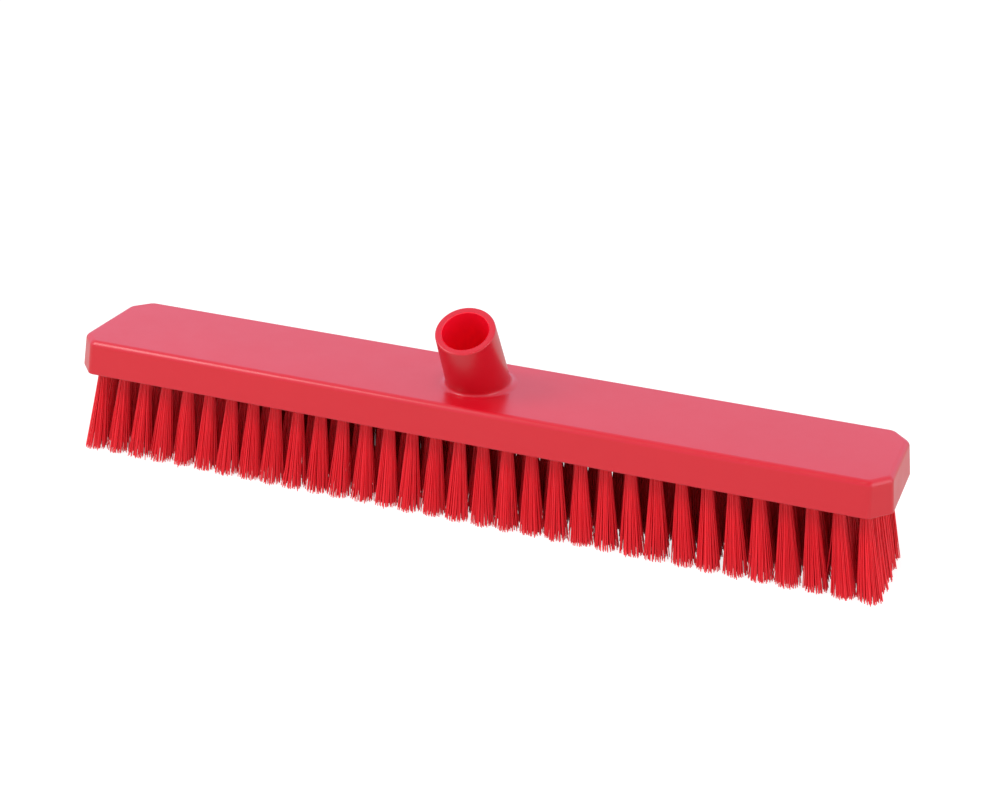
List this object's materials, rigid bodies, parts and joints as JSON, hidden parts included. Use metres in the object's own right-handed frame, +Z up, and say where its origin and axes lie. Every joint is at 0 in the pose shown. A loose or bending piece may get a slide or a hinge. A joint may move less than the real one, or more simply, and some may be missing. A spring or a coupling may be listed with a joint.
{
  "type": "push broom",
  "caption": "Long push broom head: a chamfered plastic block with a slanted blind socket for a handle, filled underneath with rows of flared bristle tufts.",
  "frame": {"origin": "centre of the object's box on the plane of the bristle tips, which is the floor that the broom stands on", "axes": "+Z up; +X along the broom's length; the handle socket leans towards -Y, where the person who sweeps stands"},
  "size_m": [0.5018, 0.08, 0.1249],
  "materials": {
    "block_plastic": "red moulded polypropylene, satin gloss",
    "bristle_filament": "red extruded polyester filament, soft sheen",
    "anchor_wire": "flat stainless steel wire"
  },
  "bodies": {
    "root": {"block": "block_plastic", "row_1_tufts_01": "bristle_filament", "row_1_tufts_02": "bristle_filament", "row_1_tufts_03": "bristle_filament", "row_1_tufts_04": "bristle_filament", "row_1_tufts_05": "bristle_filament", "row_1_tufts_06": "bristle_filament", "row_1_tufts_07": "bristle_filament", "row_1_tufts_08": "bristle_filament", "row_1_tufts_09": "bristle_filament", "row_1_tufts_10": "bristle_filament", "row_1_tufts_11": "bristle_filament", "row_2_tufts_01": "bristle_filament", "row_2_tufts_02": "bristle_filament", "row_2_tufts_03": "bristle_filament", "row_2_tufts_04": "bristle_filament", "row_2_tufts_05": "bristle_filament", "row_2_tufts_06": "bristle_filament", "row_2_tufts_07": "bristle_filament", "row_2_tufts_08": "bristle_filament", "row_2_tufts_09": "bristle_filament", "row_2_tufts_10": "bristle_filament", "row_2_tufts_11": "bristle_filament", "row_3_tufts_01": "bristle_filament", "row_3_tufts_02": "bristle_filament", "row_3_tufts_03": "bristle_filament", "row_3_tufts_04": "bristle_filament", "row_3_tufts_05": "bristle_filament", "row_3_tufts_06": "bristle_filament", "row_3_tufts_07": "bristle_filament", "row_3_tufts_08": "bristle_filament", "row_3_tufts_09": "bristle_filament", "row_3_tufts_10": "bristle_filament", "row_3_tufts_11": "bristle_filament", "row_4_tufts_01": "bristle_filament", "row_4_tufts_02": "bristle_filament", "row_4_tufts_03": "bristle_filament", "row_4_tufts_04": "bristle_filament", "row_4_tufts_05": "bristle_filament", "row_4_tufts_06": "bristle_filament", "row_4_tufts_07": "bristle_filament", "row_4_tufts_08": "bristle_filament", "row_4_tufts_09": "bristle_filament", "row_4_tufts_10": "bristle_filament", "row_4_tufts_11": "bristle_filament", "row_5_tufts_01": "bristle_filament", "row_5_tufts_02": "bristle_filament", "row_5_tufts_03": "bristle_filament", "row_5_tufts_04": "bristle_filament", "row_5_tufts_05": "bristle_filament", "row_5_tufts_06": "bristle_filament", "row_5_tufts_07": "bristle_filament", "row_5_tufts_08": "bristle_filament", "row_5_tufts_09": "bristle_filament", "row_5_tufts_10": "bristle_filament", "row_5_tufts_11": "bristle_filament"}
  },
  "joints": []
}
